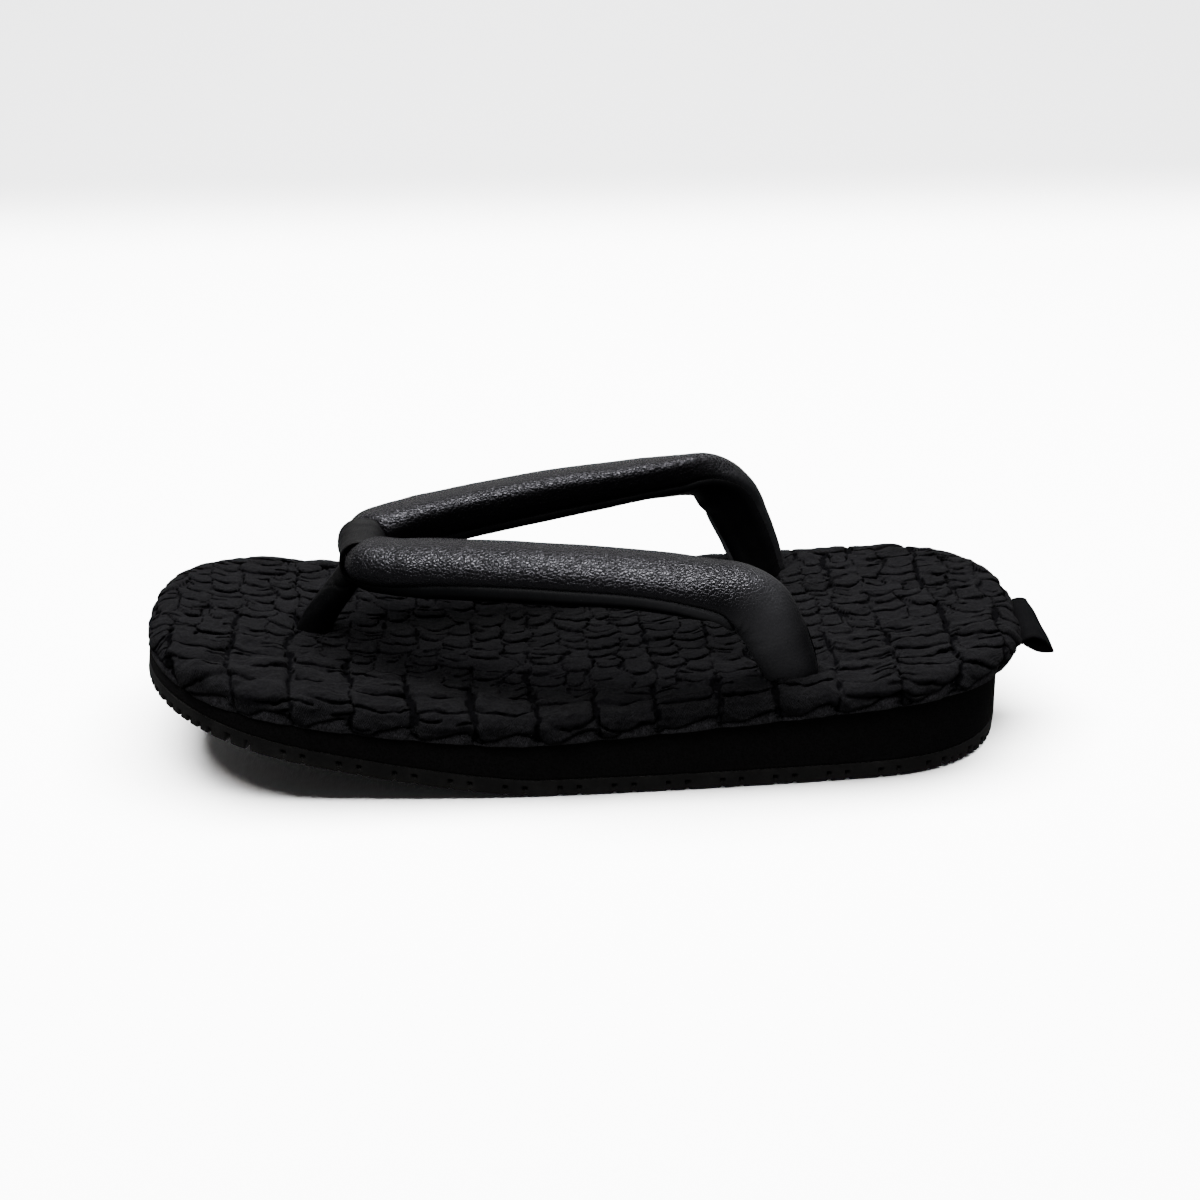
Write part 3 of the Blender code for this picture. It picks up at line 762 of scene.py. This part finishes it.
def makeLining(material):
    # a crescent let into the underside, rolled at both edges
    bm, v, frameOf, index, row = strapGrid(liningLook["sides"])
    outer, inner, leg = seamLines(row)
    turn = 2 * math.pi * v
    share = 0.5 - 0.5 * np.cos(turn)  # 0 at the outer edge, 1 at the inner one
    degrees = outer + (inner - outer) * share
    thick = np.sin(turn)
    edge = np.abs(thick) ** 0.4 * np.sign(thick)
    grow = liningLook["halfWall"] * edge - liningLook["sink"]
    # rolled edges along both seams, and the rest drawn in between them
    proud = np.clip(edge, 0, 1)
    started = 0.35 + 0.65 * ramp(np.abs(row), 2.4, 4.2)
    for distance, swell in zip((degrees - outer, inner - degrees), liningLook["rolls"]):
        grow += (0.4 + 0.6 * proud) * swell * started * (1 - ramp(distance, 20, 38))
    for depth, size, seed in zip(liningLook["crumple"], (6, 2.4), (41, 42)):
        grow += proud * depth * softNoise(row * 12, degrees / 9, size, seed)
    sag = liningLook["sag"][0] * ramp(-row, 2.6, 4) + liningLook["sag"][1] * bump(-row, 7.2, 1.4)
    grow += sag * (1 - leg) * bump(degrees, 256, 32)
    placeTube(bm, frameOf, index, np.radians(degrees), grow, squareness(row, degrees))
    # painted light: the outer roll is lighter, more so towards the bend
    roll = (0.7 + 0.3 * ramp(np.abs(row), 5, 8)) * (1 - ramp(degrees - outer, 20, 36))
    paintVerts(bm, roll=roll * (1 - leg) * ramp(np.abs(row), 2.4, 8.2))
    mergeVerts(bm)
    lining = newPiece("strap_lining", bm, material, "strap")


def leatherMaterial():
    material, tree, shader, point = newMaterial("pebbled_leather", Specular_Tint=(0.92, 0.9, 1.0, 1.0))
    pebbles = useGroup(tree, pebbleGroup, Vector=point, Per_Metre=strapLook["pebblesPerMetre"])
    leg, inner, shaded = (attribute(tree, name) for name in ("leg", "inner", "shaded"))
    # painted shade in the pebbles' creases
    colour = mixColour(tree, pebbles["Crease"], strapLook["colour"], strapLook["creaseShadeColour"])
    # painted light: lighter down the leg
    colour = mixColour(tree, leg, colour, strapLook["legLightColour"])
    # painted shade: less gloss and a darker tone on the inner side, at the leg's back and near the sole
    paintedShade = mathNode(tree, "MAXIMUM", inner, shaded)
    plain, creased, onLeg = strapLook["roughness"]
    rough = timesPlus(tree, leg, onLeg, timesPlus(tree, pebbles["Crease"], creased, plain))
    feed(tree, shader, Specular_IOR_Level=fade(tree, paintedShade, *strapLook["gloss"]), Roughness=rough)
    height = times(tree, pebbles["Height"], fade(tree, leg, strapLook["legPebbles"]))
    height = timesPlus(tree, noise(tree, point, 2600.0, 3.0), 0.1, height)
    shades = fade(tree, shaded, strapLook["shadedTone"]), fade(tree, inner, strapLook["innerTone"])
    finishLook(tree, shader, point, strapLook, colour, height, *shades)
    return material


def smoothLeatherMaterial():
    material, tree, shader, point = newMaterial("smooth_leather")
    pebbles = useGroup(tree, pebbleGroup, Vector=point, Per_Metre=thongLook["pebblesPerMetre"])
    fine = noise(tree, point, 500.0, 5.0)
    # painted shade in the creases of the grain
    colour = mixColour(tree, pebbles["Crease"], thongLook["colour"], thongLook["creaseShadeColour"])
    place = splitPoint(tree, point)
    # painted shade: less gloss lower down, on the stem
    feed(
        tree, shader,
        Roughness=timesPlus(tree, fine, *thongLook["roughness"]),
        Specular_IOR_Level=mapRange(tree, place["Z"], *thongLook["stemShadeHeights"], *thongLook["gloss"]),
    )
    height = timesPlus(tree, fine, 1.6, pebbles["Height"])
    finishLook(tree, shader, point, thongLook, colour, height)
    return material


def liningMaterial():
    material, tree, shader, point = newMaterial("strap_lining_cloth", Roughness=0.6, Specular_IOR_Level=0.05)
    threads = liningLook["threadsPerMetre"]
    weave = useGroup(tree, weaveGroup, Vector=point, Per_Metre=threads, Wander=0.0004)["Height"]
    colour = mixColour(tree, weave, *liningLook["threadColours"])
    # painted light on the outer roll
    colour = mixColour(tree, attribute(tree, "roll"), colour, liningLook["rollLightColour"])
    finishLook(tree, shader, point, liningLook, colour, weave)
    return material


# The front thong: a stem out of the cloth, and a collar wrapped round the strap's front
thongLook = {
    "collarHalfSpan": 8.2, "wall": 1.6, "voxel": 0.00042, "power": 2.3,
    # distance across the strap, and half the collar's width there
    "collarHalfWidths": ((-8.3, 6.4), (-4.4, 6.0), (0, 5.9), (4.4, 6.4), (8.3, 7.5)),
    "sides": 72, "collarCells": 36, "stemCells": 48,
    "colour": (0.0021, 0.0021, 0.0025), "creaseShadeColour": (0.0012, 0.0012, 0.0014),
    "mottle": 0.35, "relief": 0.00005, "pebblesPerMetre": 1900.0, "roughness": (0.2, 0.42),
    # painted shade: the stem below the collar is given less gloss
    "stemShadeHeights": (0.045, 0.055), "gloss": (0.06, 0.18),  # the stem is duller than the collar above it
}


def addShell(bm, part):
    mergeVerts(part)
    bmesh.ops.recalc_face_normals(part, faces=part.faces)
    mesh = toMesh("shell", part)
    bm.from_mesh(mesh)
    bpy.data.meshes.remove(mesh)


def collarShell(bm):
    # a fat oval tube across the strap, open at both sides, its rims rolled over the strap
    part, u, v = gridPiece(thongLook["collarCells"] * 2, thongLook["sides"])
    turn = 2 * math.pi * u
    angle = 2 * math.pi * v
    y = thongLook["collarHalfSpan"] * np.sin(turn)
    outside = np.clip(np.cos(turn), -1, 1)
    wall = thongLook["wall"]
    offset = wall * (0.5 + 0.5 * np.sign(outside) * np.abs(outside) ** 0.5) - 0.35
    halfWidth = np.interp(y, *zip(*thongLook["collarHalfWidths"]))
    side, up = oval(angle, thongLook["power"])
    middleX, _, middleZ = strapHalf[0][:3]
    reach = halfWidth + offset
    placeVerts(part, np.stack((middleX + side * reach, y, middleZ + up * reach), 1))
    addShell(bm, part)


def stemShell(bm):
    cells, sides = thongLook["stemCells"], thongLook["sides"]
    part, u, v = gridPiece(cells, sides)
    positions = np.linspace(0, len(thongStem) - 1, cells + 1)
    frameOf = bandFrame(thongStem, positions)
    index = np.rint(u * cells).astype(int)
    angle = 2 * math.pi * v
    grow = 0.25 * bump(np.degrees(angle), 90, 30) - 0.35 * bump(np.degrees(angle), 160, 9)
    placeTube(part, frameOf, index, angle, grow)
    addShell(bm, part)


def makeThong(leather):
    bm = bmesh.new()
    collarShell(bm)
    stemShell(bm)
    thong = newPiece("front_thong_leather", bm, leather, "front_thong")
    joined = thong.modifiers.new("joined", "REMESH")
    joined.mode = "VOXEL"
    joined.voxel_size = thongLook["voxel"]
    joined.use_smooth_shade = True
    eased = thong.modifiers.new("eased", "SMOOTH")
    eased.factor = 0.5
    eased.iterations = 6
    ready = bpy.data.meshes.new_from_object(thong.evaluated_get(bpy.context.evaluated_depsgraph_get()))
    thong.modifiers.clear()
    thong.data = ready
    bm = bmesh.new()
    bm.from_mesh(ready)
    for vertex in bm.verts:
        x, y, z = vertex.co.x / mm - soleMiddle, vertex.co.y / mm, vertex.co.z / mm
        # creases round the neck, where the stem is gathered into the collar
        crease = 0.0
        for level, slope, depth in ((50.9, 0.3, 0.16), (47.6, -0.35, 0.12)):
            crease += depth * math.exp(-((z - level - slope * y + 0.3 * math.sin(0.9 * x)) / 0.5) ** 2)
        crease *= float(ramp(-x, 66, 72))
        wave = 0.12 * math.sin(0.55 * z + 0.7 * y) * math.sin(0.8 * y)
        vertex.co += vertex.normal * (wave - crease) * mm
    bm.to_mesh(ready)
    bm.free()
    ready.shade_smooth()
    print("front_thong_leather", len(ready.polygons), "faces")


# The ribbon at the heel, folded into a flat loop
ribbon = {
    "width": 24, "middleY": -5, "rootDepth": 4.4, "reach": 10, "wall": 0.55,
    "belly": 3.8, "droop": (0.4, 3.0), "skew": 3.4, "tilt": 2.2, "cells": (96, 44),
    "flat": (24, 30),  # the strip before it is folded
    "colour": (0.0042, 0.0042, 0.0048), "selvedgeColour": (0.0026, 0.0026, 0.003),
    "mottle": 0.3, "relief": 0.00006, "ribsPerMetre": 2600, "threadsPerMetre": 2400.0,
}


def makeRibbon(material):
    bm, u, v = gridPiece(*ribbon["cells"])
    y = ribbon["middleY"] + ribbon["width"] * (v - 0.5)
    droop = ribbon["droop"][1] + (ribbon["droop"][0] - ribbon["droop"][1]) * v
    reach = ribbon["reach"] - ribbon["skew"] * v
    level = float(rimHeight(halfLength - ribbon["rootDepth"])) - 1.0
    turn = 2 * math.pi * u
    share = 0.5 - 0.5 * np.cos(turn)
    x = -ribbon["rootDepth"] + (reach + ribbon["rootDepth"]) * share
    out = np.clip(np.maximum(x, 0) / ribbon["reach"], 0, 1)
    swell = np.sin(math.pi * out) ** 0.8
    half = (0.6 + ribbon["belly"] / 2 * swell) * np.abs(np.sin(turn)) ** 0.3
    wave = 0.25 * np.sin(y * 0.5 + 1.2) * out + 0.1 * softNoise(x, y, 3, 51)
    z = np.sign(np.sin(turn)) * half - droop * out ** 2 + wave + ribbon["tilt"] * v
    placeVerts(bm, np.stack((halfLength + x, y, level + z), 1))
    paintVerts(bm, width=v)
    mergeVerts(bm)
    bmesh.ops.recalc_face_normals(bm, faces=bm.faces)
    bmesh.ops.solidify(bm, geom=bm.faces, thickness=ribbon["wall"] * mm)
    strip = newPiece("heel_ribbon", bm, material, "heel_loop")


def ribbonMaterial():
    material, tree, shader, point = newMaterial("woven_ribbon", Roughness=0.85, Specular_IOR_Level=0.03)
    place = splitPoint(tree, point)
    turns = times(tree, place["X"], 2 * math.pi * ribbon["ribsPerMetre"])
    ribs = mathNode(tree, "SINE", turns)
    threads = ribbon["threadsPerMetre"]
    weave = useGroup(tree, weaveGroup, Vector=point, Per_Metre=threads, Wander=0.0001)["Height"]
    edge = mathNode(tree, "ABSOLUTE", mathNode(tree, "SUBTRACT", attribute(tree, "width"), 0.5))
    selvedge = mapRange(tree, edge, 0.44, 0.46)
    colour = mixColour(tree, selvedge, ribbon["colour"], ribbon["selvedgeColour"])
    finishLook(tree, shader, point, ribbon, colour, timesPlus(tree, ribs, 0.4, weave))
    return material


# The foam wedge and the rubber outsole: layers that follow the sole's outline
wedge = {
    "cells": 700, "foot": (0.1, 6.4), "top": (0.9, 6.6), "rounding": 0.5,
    "colour": (0.0034, 0.0032, 0.0033), "speckColour": (0.0065, 0.0061, 0.0064),
    "mottle": 0.6, "relief": 0.0001,
}
outsole = {
    "cells": 1540, "ground": (-0.5, 6.8), "top": (0.1, 6.4), "rounding": 1.0,
    "wall": 5.1, "wallTop": 4.9,  # the height that the stations are written for, and its upper edge
    "notchStart": 5.5, "notchPitch": 16.35, "pairPitch": 5.8, "pairs": (-7, 8), "notchDepth": 3.0,
    # half the width, the bottom and the top of a notch; nearer the toe they are open below
    "notch": (0.625, 2.1, 3.4), "openNotch": (0.53125, -1, 3.1), "openBefore": -98,
    "tooth": (4.1, 0.65, 2.4, 0.9),  # pitch, half the width, top and depth
    "teethFrom": (112, 108),  # how far towards the toe and the heel the teeth start
    "grooveDepth": 1.8, "grooveHalfWidth": 0.6, "zigzag": 2.4,
    "colour": (0.0081, 0.0078, 0.0077), "dustColour": (0.0158, 0.0151, 0.0147),
    "mottle": 0.5, "relief": 0.00012, "roughness": (0.2, 0.7),
}


def soleLoop(cells):
    # evenly spaced points round the whole outline, with outward normals and the length from the toe tip
    far = np.stack(outline(0), 1)
    steps = np.arange(cells) / cells
    share = 1 - np.abs(1 - 2 * steps)
    at = share * (len(far) - 1)
    loop = np.stack([np.interp(at, np.arange(len(far)), column) for column in far.T], 1)
    loop[steps > 0.5, 1] *= -1
    loop[steps > 0.5, 3] *= -1
    length = np.sum(np.hypot(np.diff(far[:, 0]), np.diff(far[:, 1])))
    return loop, share * length


def layerGrid(cells, stations):
    # a closed skin: round the outline, and from the underside's middle over the edge to the top's middle
    bm, u, v = gridPiece(cells, len(stations) - 1)
    around = np.rint(u * cells).astype(int) % cells
    station = np.rint(v * (len(stations) - 1)).astype(int)
    return bm, around, np.array(stations, float)[station]


def middlePoint(loop):
    reach = halfLength - sole["toMiddle"]
    return np.clip(loop[:, 0], -reach, reach)


def placeLayer(loop, around, inward, inset, height):
    # points at an inset from the outline, or a share of the way in to the middle line
    x = loop[around, 0] - inset * loop[around, 2]
    y = loop[around, 1] - inset * loop[around, 3]
    middle = middlePoint(loop)[around]
    x, y = x + (middle - x) * inward, y * (1 - inward)
    return np.stack((x, y, height(x)), 1)


def makeWedge(material):
    # stations: share of the way in from the edge, share of the height, share of the corner's rounding
    stations = [(inward, 0, 1) for inward in (1, 0.7, 0.4, 0.1)]
    stations += [(0, 0, 1), (0, 0.02, 0.4), (0, 0.06, 0), (0, 0.25, 0), (0, 0.5, 0), (0, 0.75, 0)]
    stations += [(0, 0.94, 0), (0, 0.98, 0.4), (0, 1, 1)]
    stations += [(inward, 1, 1) for inward in (0.1, 0.4, 0.7, 1)]
    loop, _ = soleLoop(wedge["cells"])
    bm, around, rows = layerGrid(wedge["cells"], stations)
    inward, level, corner = rows.T
    x = loop[around, 0]
    foot, top = along(x, *wedge["foot"]), along(x, *wedge["top"])
    inset = foot + (top - foot) * level + wedge["rounding"] * corner
    inset -= 0.12 * softNoise(x, level * 20 + np.sign(loop[around, 1]) * 90, 22, 61) * (1 - corner)

    def height(px):
        low = groundHeight(px) + along(px, *sole["rubber"])
        return low + (rimHeight(px) - low) * level + 0.15 - 0.3 * level

    placeVerts(bm, placeLayer(loop, around, inward, inset, height))
    mergeVerts(bm)
    newPiece("foam_wedge", bm, material, "midsole")


def makeOutsole(material):
    # stations: share of the way in from the edge, height in millimetres, share of the rounding
    stations = [(inward, 0, 1) for inward in np.linspace(1, 0.04, 28)]
    corner = np.linspace(0, math.pi / 2, 5)
    stations += [(0, 0.5 * (1 - math.cos(turn)), 1 - math.sin(turn)) for turn in corner]
    stations += [(0, 0.5 + rise, 0) for rise in np.linspace(0.25, 4.2, 15)]
    wall = outsole["wall"]
    stations += [(0, wall - 0.15, 0.15), (0, wall, 0.5)] + [(inward, wall, 1) for inward in (0.05, 0.3, 1)]
    loop, arc = soleLoop(outsole["cells"])
    bm, around, rows = layerGrid(outsole["cells"], stations)
    inward, level, corner = rows.T
    x = loop[around, 0]
    atTop = level > outsole["wallTop"]
    level = level * np.where(atTop, along(x, *sole["rubber"]) / wall, 1)
    ground, top = along(x, *outsole["ground"]), along(x, *outsole["top"])
    inset = ground + (top - ground) * level / wall + np.where(atTop, 0.3, outsole["rounding"]) * corner

    fromEdge = inward * sole["toMiddle"]
    cut = np.zeros_like(x)
    lift = np.zeros_like(x)
    for pair in range(*outsole["pairs"]):
        for notchX in (0, outsole["pairPitch"]):
            notchX += outsole["notchStart"] + outsole["notchPitch"] * pair
            isOpen = notchX < outsole["openBefore"]
            half, floor, top = outsole["openNotch" if isOpen else "notch"]
            across = 1 - past(np.abs(x - notchX), half, 0.2)
            window = past(level, floor, 0.2) * (1 - past(level, top, 0.2))
            cut = np.maximum(cut, outsole["notchDepth"] * across * window * (fromEdge < 1))
            # an open notch runs in under the sole, and any other only dents the corner below it
            if isOpen:
                rise = top * (1 - ramp(fromEdge, 9, 12)) * (level < top)
            else:
                rise = 0.45 * (level < 1.2) * (fromEdge < 3)
            lift = np.maximum(lift, rise * across)
    # small teeth round the toe and heel
    pitch, half, top, depth = outsole["tooth"]
    tooth = (arc[around] / pitch + 0.25 * softNoise(arc[around], 0, 9, 62)) % 1
    gap = 1 - past(np.abs(tooth - 0.5) * pitch, half, 0.2)
    gap *= np.maximum(*(past(side, start, 1) for side, start in zip((-x, x), outsole["teethFrom"])))
    cut = np.maximum(cut, depth * gap * (level < top) * (fromEdge < 1))
    lift = np.maximum(lift, 1.5 * gap * (level < 1) * (1 - ramp(fromEdge, 4, 7)))
    # zigzag grooves across the underside, kept inside the edge
    y = loop[around, 1] * (1 - inward)
    zigzag = outsole["zigzag"] * (np.abs((y / 9) % 2 - 1) - 0.5)
    underX = x + (middlePoint(loop)[around] - x) * inward
    pitch = outsole["notchPitch"] / 3
    phase = np.abs(((underX + zigzag) / pitch) % 1 - 0.5) * pitch
    groove = 1 - past(phase, outsole["grooveHalfWidth"], 0.25)
    lift = np.maximum(lift, outsole["grooveDepth"] * groove * (level == 0) * ramp(fromEdge, 3, 5))

    def height(px):
        return groundHeight(px) + level + lift

    placeVerts(bm, placeLayer(loop, around, inward, inset + cut, height))
    mergeVerts(bm)
    newPiece("rubber_outsole", bm, material, "outsole")


def foamMaterial():
    material, tree, shader, point = newMaterial("foam", Roughness=0.95, Specular_IOR_Level=0.1)
    cells = addNode(tree, "TexVoronoi", {"Vector": point, "Scale": 1600.0})
    speck = mapRange(tree, cells.outputs["Distance"], 0.15, 0.6)
    colour = mixColour(tree, speck, wedge["colour"], wedge["speckColour"])
    height = timesPlus(tree, noise(tree, point, 300.0, 4.0), 1.5, speck)
    finishLook(tree, shader, point, wedge, colour, height)
    return material


def rubberMaterial():
    material, tree, shader, point = newMaterial("rubber", Specular_IOR_Level=0.3)
    dust = noise(tree, point, 160.0, 6.0, Roughness=0.65)
    colour = mixColour(tree, mapRange(tree, dust, 0.45, 0.75), outsole["colour"], outsole["dustColour"])
    feed(tree, shader, Roughness=timesPlus(tree, dust, *outsole["roughness"]))
    finishLook(tree, shader, point, outsole, colour, noise(tree, point, 1500.0, 4.0))
    return material


# Camera, backdrop and lights
view = {"aim": (4.5, 0, 40.11), "pitch": 25, "yaw": 3.76, "distance": 0.75205, "lens": 72.36}


def makeCamera():
    pitch, yaw = math.radians(view["pitch"]), math.radians(view["yaw"])
    back = Vector((-math.sin(yaw) * math.cos(pitch), -math.cos(yaw) * math.cos(pitch), math.sin(pitch)))
    aim = (Vector(view["aim"]) + Vector((soleMiddle, 0, 0))) * mm
    data = bpy.data.cameras.new("camera")
    data.lens = view["lens"]
    data.sensor_width = 36
    data.clip_start = 0.05
    camera = addObject("camera", data)
    camera.location = aim + back * view["distance"]
    camera.rotation_euler = (-back).to_track_quat("-Z", "Y").to_euler()
    bpy.context.scene.camera = camera


studio = {
    "floorStart": -3.0, "curveStart": 0.62, "curveRadius": 0.55, "wallHeight": 2.4, "halfWidth": 3.5,
    "paper": ((0.93, 0.93, 0.93), (0.95, 0.95, 0.95)),
    # painted shade: the wall behind is greyer than the floor
    "wallShadeColour": (0.40, 0.40, 0.405), "horizon": (0.50, 0.66),  # a greyer band behind the soft horizon
    "room": 0.05, "bounce": 0.25,
    # place, point aimed at, size, power, and whether it lights things, shines in them or spares the paper
    "softboxes": {
        "back_softbox": ((0, 0.95, 0.75), (0, 0, 0.4), (2.6, 1.3), 6, "both"),
        "key_softbox": ((0, 0.05, 1.17), (0, 0, 0.05), (1.6, 0.13), 6, "both"),
        "shine_softbox": ((0, 0.05, 1.15), (0, 0, 0.05), (1.6, 0.13), 29, "shine"),
        "top_softbox": ((0.05, -0.14, 1.2), (0, 0, 0.05), (1.2, 0.36), 5, "shine"),
        "broad_softbox": ((0, 0.42, 1.2), (0, 0, 0.05), (1.6, 0.6), 29, "light"),
        "front_softbox": ((-0.25, -0.8, 1.0), (0, 0, 0.03), (1.4, 0.5), 10.5, "front"),
    },
    "paperLight": ((0, 0.1, 1.2), (0, 0.05, 0), (1.7, 1.0), 240),
}


def makeBackdrop():
    # a paper sweep: a flat floor that curves up behind
    bm, u, v = gridPiece(1, 120)
    radius, start = studio["curveRadius"], studio["curveStart"]
    quarter = radius * math.pi / 2
    flat = start - studio["floorStart"]
    path = v * (flat + quarter + studio["wallHeight"])
    turn = np.clip((path - flat) / radius, 0, math.pi / 2)
    y = studio["floorStart"] + np.minimum(path, flat) + radius * np.sin(turn)
    z = radius * (1 - np.cos(turn)) + np.clip(path - flat - quarter, 0, None)
    x = (2 * u - 1) * studio["halfWidth"]
    for vertex, point in zip(bm.verts, np.stack((x, y, z), 1)):
        vertex.co = point
    material, tree, shader, point = newMaterial("backdrop_paper", Roughness=0.9, Specular_IOR_Level=0.2)
    colour = mixColour(tree, noise(tree, point, 6.0, 2.0), *studio["paper"])
    place = splitPoint(tree, point)
    # painted shade up the sweep: the wall greyer than the floor
    wall = mapRange(tree, place["Y"], *studio["horizon"], interpolation_type="SMOOTHSTEP")
    colour = mixColour(tree, wall, colour, studio["wallShadeColour"])
    feed(tree, shader, Base_Color=colour)
    floor = addObject("backdrop", toMesh("backdrop", bm))
    floor.data.materials.append(material)
    # the paper is far brighter than it would be beside so dark an object, so it doesn't light it
    floor.visible_diffuse = False
    floor.visible_glossy = False


def areaLight(name, place, aim, size, power):
    data = bpy.data.lights.new(name, "AREA")
    data.shape = "RECTANGLE"
    data.size, data.size_y = size
    data.energy = power
    light = addObject(name, data)
    light.location = place
    light.rotation_euler = (Vector(place) - Vector(aim)).to_track_quat("Z", "Y").to_euler()
    return light


def paperOnly(name, state):
    # a set of receivers with the paper let in or left out
    receivers = bpy.data.collections.new(name)
    receivers.objects.link(bpy.data.objects["backdrop"])
    receivers.collection_objects[0].light_linking.link_state = state
    return receivers


def makeLights():
    world = bpy.data.worlds.new("studio")
    world.use_nodes = True
    tree = world.node_tree
    # the room is dim, and the paper's bounce comes from below
    towards = splitPoint(tree, addNode(tree, "TexCoord").outputs["Generated"])
    level = mapRange(tree, towards["Z"], -0.04, 0.04, studio["bounce"], studio["room"])
    feed(tree, tree.nodes["Background"], Strength=level, Color=(1, 1, 1, 1))
    bpy.context.scene.world = world
    for name, (place, aim, size, power, kind) in studio["softboxes"].items():
        light = areaLight(name, place, aim, size, power)
        light.visible_diffuse = kind != "shine"
        light.visible_glossy = kind in ("both", "shine")
        if kind == "front":
            light.light_linking.receiver_collection = paperOnly("all_but_paper", "EXCLUDE")
    # the paper has a light of its own
    paperLight = areaLight("paper_light", *studio["paperLight"])
    paperLight.light_linking.receiver_collection = paperOnly("paper", "INCLUDE")


makeCamera()
makeBackdrop()
makeLights()
makeCover(clothMaterial())
makeStrap(leatherMaterial())
makeLining(liningMaterial())
makeThong(smoothLeatherMaterial())
makeRibbon(ribbonMaterial())
makeWedge(foamMaterial())
makeOutsole(rubberMaterial())
